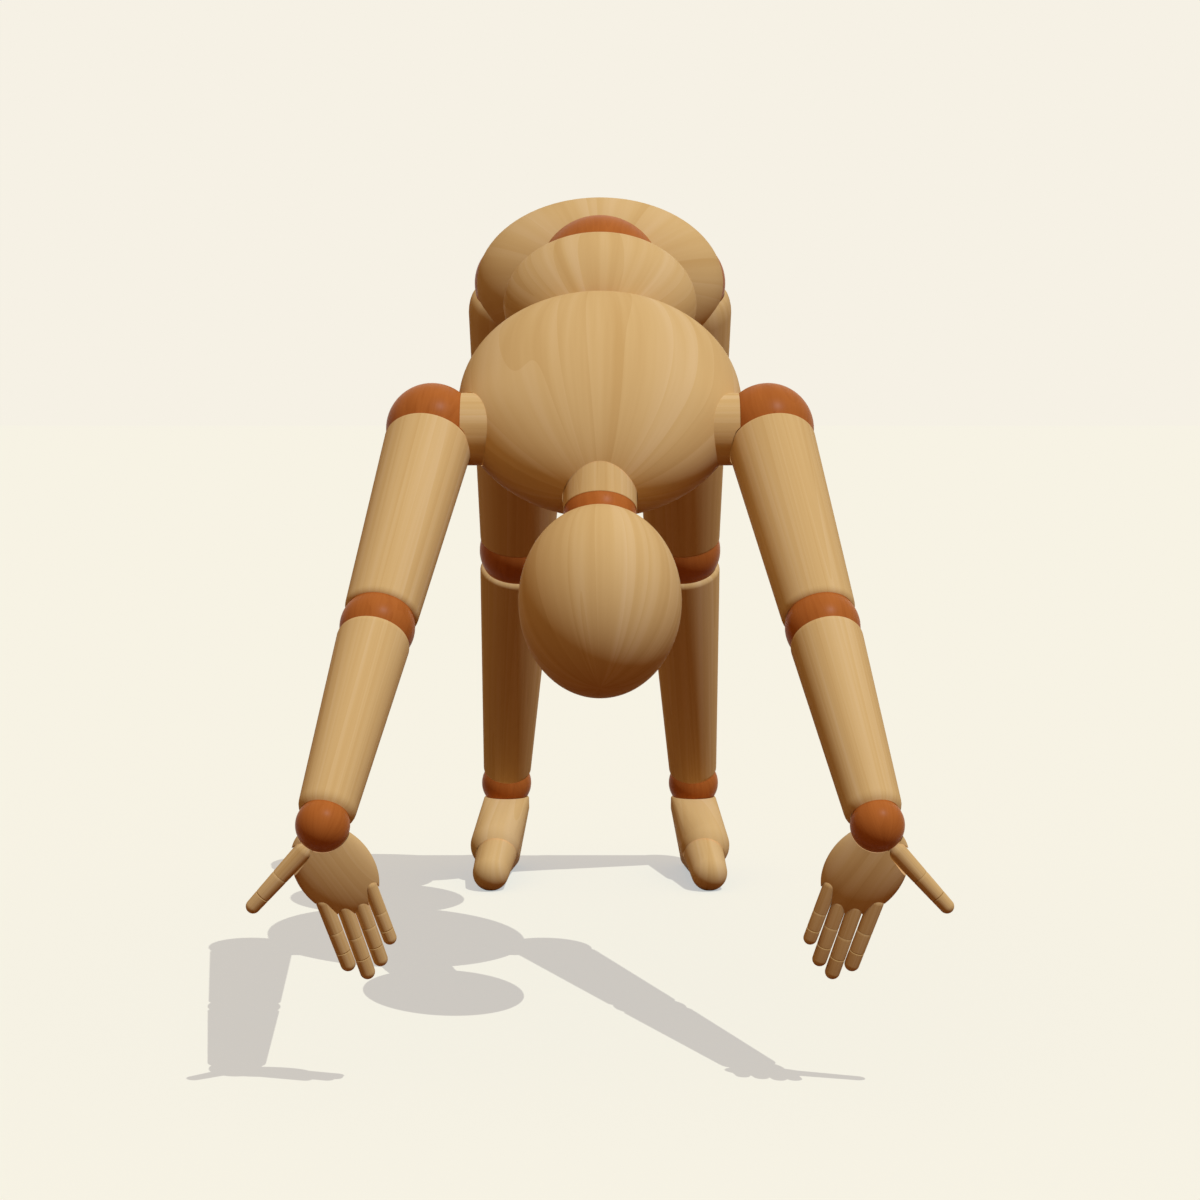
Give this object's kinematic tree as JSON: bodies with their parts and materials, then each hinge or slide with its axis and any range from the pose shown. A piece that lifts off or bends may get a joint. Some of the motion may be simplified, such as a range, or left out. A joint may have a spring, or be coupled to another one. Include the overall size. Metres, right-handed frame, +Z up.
{
  "type": "artist mannequin",
  "caption": "Jointed wooden figure mannequin bent forward from the hips, arms stretched past its egg-shaped head, with dark ball joints and jointed fingers and toes.",
  "frame": {"origin": "bottom centre of the figure's bounding box, level with its soles and midway between its two sides", "axes": "+Z up, the figure looks along -Y with its feet towards +Y, and its own left side is at +X"},
  "size_m": [0.1918, 0.3688, 0.2638],
  "materials": {
    "light_wood": "satin lacquer over straight grain",
    "stained_ball": "red-brown stain, semi-gloss"
  },
  "bodies": {
    "pelvis": {"pelvis": "light_wood"},
    "waist_ball": {"waist_ball": "stained_ball"},
    "abdomen": {"abdomen": "light_wood"},
    "torso": {"chest": "light_wood", "neck": "light_wood", "spine_ball": "stained_ball"},
    "neck_ball": {"neck_ball": "stained_ball"},
    "head": {"head": "light_wood"},
    "right_shoulder_peg": {"right_shoulder_peg": "light_wood"},
    "right_shoulder_ball": {"right_shoulder_ball": "stained_ball"},
    "right_upper_arm": {"right_upper_arm": "light_wood"},
    "right_elbow_ball": {"right_elbow_ball": "stained_ball"},
    "right_forearm": {"right_forearm": "light_wood"},
    "right_wrist_ball": {"right_wrist_ball": "stained_ball"},
    "right_palm": {"right_palm": "light_wood"},
    "right_hip_ball": {"right_hip_ball": "stained_ball"},
    "right_thigh": {"right_thigh": "light_wood"},
    "right_knee_ball": {"right_knee_ball": "stained_ball"},
    "right_shin": {"right_shin": "light_wood"},
    "right_ankle_ball": {"right_ankle_ball": "stained_ball"},
    "right_foot": {"right_foot": "light_wood"},
    "right_toe_cap": {"right_toe_cap": "light_wood"},
    "right_index_finger_base": {"right_index_finger_base": "light_wood"},
    "right_index_finger_tip": {"right_index_finger_tip": "light_wood"},
    "right_middle_finger_base": {"right_middle_finger_base": "light_wood"},
    "right_middle_finger_tip": {"right_middle_finger_tip": "light_wood"},
    "right_ring_finger_base": {"right_ring_finger_base": "light_wood"},
    "right_ring_finger_tip": {"right_ring_finger_tip": "light_wood"},
    "right_little_finger_base": {"right_little_finger_base": "light_wood"},
    "right_little_finger_tip": {"right_little_finger_tip": "light_wood"},
    "right_thumb_base": {"right_thumb_base": "light_wood"},
    "right_thumb_tip": {"right_thumb_tip": "light_wood"},
    "left_shoulder_peg": {"left_shoulder_peg": "light_wood"},
    "left_shoulder_ball": {"left_shoulder_ball": "stained_ball"},
    "left_upper_arm": {"left_upper_arm": "light_wood"},
    "left_elbow_ball": {"left_elbow_ball": "stained_ball"},
    "left_forearm": {"left_forearm": "light_wood"},
    "left_wrist_ball": {"left_wrist_ball": "stained_ball"},
    "left_palm": {"left_palm": "light_wood"},
    "left_hip_ball": {"left_hip_ball": "stained_ball"},
    "left_thigh": {"left_thigh": "light_wood"},
    "left_knee_ball": {"left_knee_ball": "stained_ball"},
    "left_shin": {"left_shin": "light_wood"},
    "left_ankle_ball": {"left_ankle_ball": "stained_ball"},
    "left_foot": {"left_foot": "light_wood"},
    "left_toe_cap": {"left_toe_cap": "light_wood"},
    "left_index_finger_base": {"left_index_finger_base": "light_wood"},
    "left_index_finger_tip": {"left_index_finger_tip": "light_wood"},
    "left_middle_finger_base": {"left_middle_finger_base": "light_wood"},
    "left_middle_finger_tip": {"left_middle_finger_tip": "light_wood"},
    "left_ring_finger_base": {"left_ring_finger_base": "light_wood"},
    "left_ring_finger_tip": {"left_ring_finger_tip": "light_wood"},
    "left_little_finger_base": {"left_little_finger_base": "light_wood"},
    "left_little_finger_tip": {"left_little_finger_tip": "light_wood"},
    "left_thumb_base": {"left_thumb_base": "light_wood"},
    "left_thumb_tip": {"left_thumb_tip": "light_wood"}
  },
  "joints": [
    {"name": "waist_bend", "type": "hinge", "parent": "pelvis", "child": "waist_ball", "pos_m": [0, 0.03705, 0.234], "axis": [1, 0, 0], "range_deg": [-15, 15]},
    {"name": "waist_twist", "type": "hinge", "parent": "waist_ball", "child": "abdomen", "pos_m": [0, 0.03705, 0.234], "axis": [0, -0.9588, -0.284], "range_deg": [-30, 30]},
    {"name": "chest_bend", "type": "hinge", "parent": "abdomen", "child": "torso", "pos_m": [0, -0.0268, 0.21013], "axis": [1, 0, 0], "range_deg": [-10, 10]},
    {"name": "neck_nod", "type": "hinge", "parent": "torso", "child": "neck_ball", "pos_m": [0, -0.09049, 0.15617], "axis": [1, 0, 0], "range_deg": [-15, 15]},
    {"name": "head_turn", "type": "hinge", "parent": "neck_ball", "child": "head", "pos_m": [0, -0.09049, 0.15617], "axis": [0, -0.6211, -0.7837], "range_deg": [-60, 60]},
    {"name": "right_shoulder_swing", "type": "hinge", "parent": "torso", "child": "right_shoulder_peg", "pos_m": [-0.052, -0.06695, 0.18228], "axis": [1, 0, 0], "range_deg": [-85, 80]},
    {"name": "right_arm_raise", "type": "hinge", "parent": "right_shoulder_peg", "child": "right_shoulder_ball", "pos_m": [-0.052, -0.06695, 0.18228], "axis": [0, 0.6129, -0.7902], "range_deg": [0, 75]},
    {"name": "right_arm_twist", "type": "hinge", "parent": "right_shoulder_ball", "child": "right_upper_arm", "pos_m": [-0.052, -0.06695, 0.18228], "axis": [-0.1478, -0.715, -0.6833], "range_deg": [-90, 90]},
    {"name": "right_elbow_bend", "type": "hinge", "parent": "right_upper_arm", "child": "right_elbow_ball", "pos_m": [-0.06421, -0.12601, 0.12584], "axis": [0.989, -0.1069, -0.1021], "range_deg": [-45, 45]},
    {"name": "right_forearm_twist", "type": "hinge", "parent": "right_elbow_ball", "child": "right_forearm", "pos_m": [-0.06421, -0.12601, 0.12584], "axis": [-0.1478, -0.715, -0.6833], "range_deg": [-90, 90]},
    {"name": "right_wrist_bend", "type": "hinge", "parent": "right_forearm", "child": "right_wrist_ball", "pos_m": [-0.07478, -0.17713, 0.07698], "axis": [0.9487, 0.0831, 0.3049], "range_deg": [-45, 10]},
    {"name": "right_wrist_tilt", "type": "hinge", "parent": "right_wrist_ball", "child": "right_palm", "pos_m": [-0.07478, -0.17713, 0.07698], "axis": [0.1483, -0.969, -0.1974], "range_deg": [-35, 10]},
    {"name": "right_hip_swing", "type": "hinge", "parent": "pelvis", "child": "right_hip_ball", "pos_m": [-0.02825, 0.06625, 0.2334], "axis": [1, 0, 0], "range_deg": [-10, 20]},
    {"name": "right_thigh_twist", "type": "hinge", "parent": "right_hip_ball", "child": "right_thigh", "pos_m": [-0.02825, 0.06625, 0.2334], "axis": [-0.0314, 0.4785, -0.8775], "range_deg": [-30, 30]},
    {"name": "right_knee_bend", "type": "hinge", "parent": "right_thigh", "child": "right_knee_ball", "pos_m": [-0.03182, 0.12055, 0.1338], "axis": [0.9983, 0.0276, -0.0505], "range_deg": [-45, 45]},
    {"name": "right_shin_twist", "type": "hinge", "parent": "right_knee_ball", "child": "right_shin", "pos_m": [-0.03182, 0.12055, 0.1338], "axis": [-0.0576, 0.4779, -0.8765], "range_deg": [-30, 30]},
    {"name": "right_ankle_bend", "type": "hinge", "parent": "right_shin", "child": "right_ankle_ball", "pos_m": [-0.0383, 0.17436, 0.0351], "axis": [0.9956, -0.0941, 0], "range_deg": [-30, 30]},
    {"name": "right_foot_turn", "type": "hinge", "parent": "right_ankle_ball", "child": "right_foot", "pos_m": [-0.0383, 0.17436, 0.0351], "axis": [0, 0, 1], "range_deg": [-20, 20]},
    {"name": "right_toe_bend", "type": "hinge", "parent": "right_foot", "child": "right_toe_cap", "pos_m": [-0.04117, 0.144, 0.0118], "axis": [0.9956, -0.0941, 0], "range_deg": [-5, 10]},
    {"name": "right_index_finger_curl", "type": "hinge", "parent": "right_palm", "child": "right_index_finger_base", "pos_m": [-0.07513, -0.17269, 0.05491], "axis": [0.9411, 0.0769, 0.3292], "range_deg": [-25, 25]},
    {"name": "right_index_finger_tip_curl", "type": "hinge", "parent": "right_index_finger_base", "child": "right_index_finger_tip", "pos_m": [-0.07216, -0.17039, 0.04586], "axis": [0.9411, 0.0769, 0.3292], "range_deg": [-30, 30]},
    {"name": "right_middle_finger_curl", "type": "hinge", "parent": "right_palm", "child": "right_middle_finger_base", "pos_m": [-0.06947, -0.17151, 0.05336], "axis": [0.9487, 0.0831, 0.3049], "range_deg": [-25, 25]},
    {"name": "right_middle_finger_tip_curl", "type": "hinge", "parent": "right_middle_finger_base", "child": "right_middle_finger_tip", "pos_m": [-0.06676, -0.16925, 0.04432], "axis": [0.9487, 0.0831, 0.3049], "range_deg": [-30, 30]},
    {"name": "right_ring_finger_curl", "type": "hinge", "parent": "right_palm", "child": "right_ring_finger_base", "pos_m": [-0.06516, -0.17107, 0.05443], "axis": [0.9487, 0.0831, 0.3049], "range_deg": [-25, 25]},
    {"name": "right_ring_finger_tip_curl", "type": "hinge", "parent": "right_ring_finger_base", "child": "right_ring_finger_tip", "pos_m": [-0.06299, -0.16926, 0.04717], "axis": [0.9487, 0.0831, 0.3049], "range_deg": [-30, 30]},
    {"name": "right_little_finger_curl", "type": "hinge", "parent": "right_palm", "child": "right_little_finger_base", "pos_m": [-0.06134, -0.17153, 0.05955], "axis": [0.9625, 0.0955, 0.2541], "range_deg": [-25, 25]},
    {"name": "right_little_finger_tip_curl", "type": "hinge", "parent": "right_little_finger_base", "child": "right_little_finger_tip", "pos_m": [-0.05943, -0.16961, 0.05159], "axis": [0.9625, 0.0955, 0.2541], "range_deg": [-30, 30]},
    {"name": "right_thumb_curl", "type": "hinge", "parent": "right_palm", "child": "right_thumb_base", "pos_m": [-0.0812, -0.17647, 0.06889], "axis": [0.7279, 0.2421, -0.6416], "range_deg": [-25, 25]},
    {"name": "right_thumb_tip_curl", "type": "hinge", "parent": "right_thumb_base", "child": "right_thumb_tip", "pos_m": [-0.08699, -0.17605, 0.06248], "axis": [0.7279, 0.2421, -0.6416], "range_deg": [-30, 30]},
    {"name": "left_shoulder_swing", "type": "hinge", "parent": "torso", "child": "left_shoulder_peg", "pos_m": [0.052, -0.06695, 0.18228], "axis": [1, 0, 0], "range_deg": [-85, 80]},
    {"name": "left_arm_raise", "type": "hinge", "parent": "left_shoulder_peg", "child": "left_shoulder_ball", "pos_m": [0.052, -0.06695, 0.18228], "axis": [0, -0.6129, 0.7902], "range_deg": [0, 75]},
    {"name": "left_arm_twist", "type": "hinge", "parent": "left_shoulder_ball", "child": "left_upper_arm", "pos_m": [0.052, -0.06695, 0.18228], "axis": [0.1478, -0.715, -0.6833], "range_deg": [-90, 90]},
    {"name": "left_elbow_bend", "type": "hinge", "parent": "left_upper_arm", "child": "left_elbow_ball", "pos_m": [0.06421, -0.12601, 0.12584], "axis": [0.989, 0.1069, 0.1021], "range_deg": [-45, 45]},
    {"name": "left_forearm_twist", "type": "hinge", "parent": "left_elbow_ball", "child": "left_forearm", "pos_m": [0.06421, -0.12601, 0.12584], "axis": [0.1478, -0.715, -0.6833], "range_deg": [-90, 90]},
    {"name": "left_wrist_bend", "type": "hinge", "parent": "left_forearm", "child": "left_wrist_ball", "pos_m": [0.07478, -0.17713, 0.07698], "axis": [0.9487, -0.0831, -0.3049], "range_deg": [-45, 10]},
    {"name": "left_wrist_tilt", "type": "hinge", "parent": "left_wrist_ball", "child": "left_palm", "pos_m": [0.07478, -0.17713, 0.07698], "axis": [-0.1483, -0.969, -0.1974], "range_deg": [-10, 35]},
    {"name": "left_hip_swing", "type": "hinge", "parent": "pelvis", "child": "left_hip_ball", "pos_m": [0.02825, 0.06625, 0.2334], "axis": [1, 0, 0], "range_deg": [-10, 20]},
    {"name": "left_thigh_twist", "type": "hinge", "parent": "left_hip_ball", "child": "left_thigh", "pos_m": [0.02825, 0.06625, 0.2334], "axis": [0.0314, 0.4785, -0.8775], "range_deg": [-30, 30]},
    {"name": "left_knee_bend", "type": "hinge", "parent": "left_thigh", "child": "left_knee_ball", "pos_m": [0.03182, 0.12055, 0.1338], "axis": [0.9983, -0.0276, 0.0505], "range_deg": [-45, 45]},
    {"name": "left_shin_twist", "type": "hinge", "parent": "left_knee_ball", "child": "left_shin", "pos_m": [0.03182, 0.12055, 0.1338], "axis": [0.0576, 0.4779, -0.8765], "range_deg": [-30, 30]},
    {"name": "left_ankle_bend", "type": "hinge", "parent": "left_shin", "child": "left_ankle_ball", "pos_m": [0.0383, 0.17436, 0.0351], "axis": [0.9956, 0.0941, 0], "range_deg": [-30, 30]},
    {"name": "left_foot_turn", "type": "hinge", "parent": "left_ankle_ball", "child": "left_foot", "pos_m": [0.0383, 0.17436, 0.0351], "axis": [0, 0, 1], "range_deg": [-20, 20]},
    {"name": "left_toe_bend", "type": "hinge", "parent": "left_foot", "child": "left_toe_cap", "pos_m": [0.04117, 0.144, 0.0118], "axis": [0.9956, 0.0941, 0], "range_deg": [-5, 10]},
    {"name": "left_index_finger_curl", "type": "hinge", "parent": "left_palm", "child": "left_index_finger_base", "pos_m": [0.07513, -0.17269, 0.05491], "axis": [0.9411, -0.0769, -0.3292], "range_deg": [-25, 25]},
    {"name": "left_index_finger_tip_curl", "type": "hinge", "parent": "left_index_finger_base", "child": "left_index_finger_tip", "pos_m": [0.07216, -0.17039, 0.04586], "axis": [0.9411, -0.0769, -0.3292], "range_deg": [-30, 30]},
    {"name": "left_middle_finger_curl", "type": "hinge", "parent": "left_palm", "child": "left_middle_finger_base", "pos_m": [0.06947, -0.17151, 0.05336], "axis": [0.9487, -0.0831, -0.3049], "range_deg": [-25, 25]},
    {"name": "left_middle_finger_tip_curl", "type": "hinge", "parent": "left_middle_finger_base", "child": "left_middle_finger_tip", "pos_m": [0.06676, -0.16925, 0.04432], "axis": [0.9487, -0.0831, -0.3049], "range_deg": [-30, 30]},
    {"name": "left_ring_finger_curl", "type": "hinge", "parent": "left_palm", "child": "left_ring_finger_base", "pos_m": [0.06516, -0.17107, 0.05443], "axis": [0.9487, -0.0831, -0.3049], "range_deg": [-25, 25]},
    {"name": "left_ring_finger_tip_curl", "type": "hinge", "parent": "left_ring_finger_base", "child": "left_ring_finger_tip", "pos_m": [0.06299, -0.16926, 0.04717], "axis": [0.9487, -0.0831, -0.3049], "range_deg": [-30, 30]},
    {"name": "left_little_finger_curl", "type": "hinge", "parent": "left_palm", "child": "left_little_finger_base", "pos_m": [0.06134, -0.17153, 0.05955], "axis": [0.9625, -0.0955, -0.2541], "range_deg": [-25, 25]},
    {"name": "left_little_finger_tip_curl", "type": "hinge", "parent": "left_little_finger_base", "child": "left_little_finger_tip", "pos_m": [0.05943, -0.16961, 0.05159], "axis": [0.9625, -0.0955, -0.2541], "range_deg": [-30, 30]},
    {"name": "left_thumb_curl", "type": "hinge", "parent": "left_palm", "child": "left_thumb_base", "pos_m": [0.0812, -0.17647, 0.06889], "axis": [0.7279, -0.2421, 0.6416], "range_deg": [-25, 25]},
    {"name": "left_thumb_tip_curl", "type": "hinge", "parent": "left_thumb_base", "child": "left_thumb_tip", "pos_m": [0.08699, -0.17605, 0.06248], "axis": [0.7279, -0.2421, 0.6416], "range_deg": [-30, 30]}
  ]
}
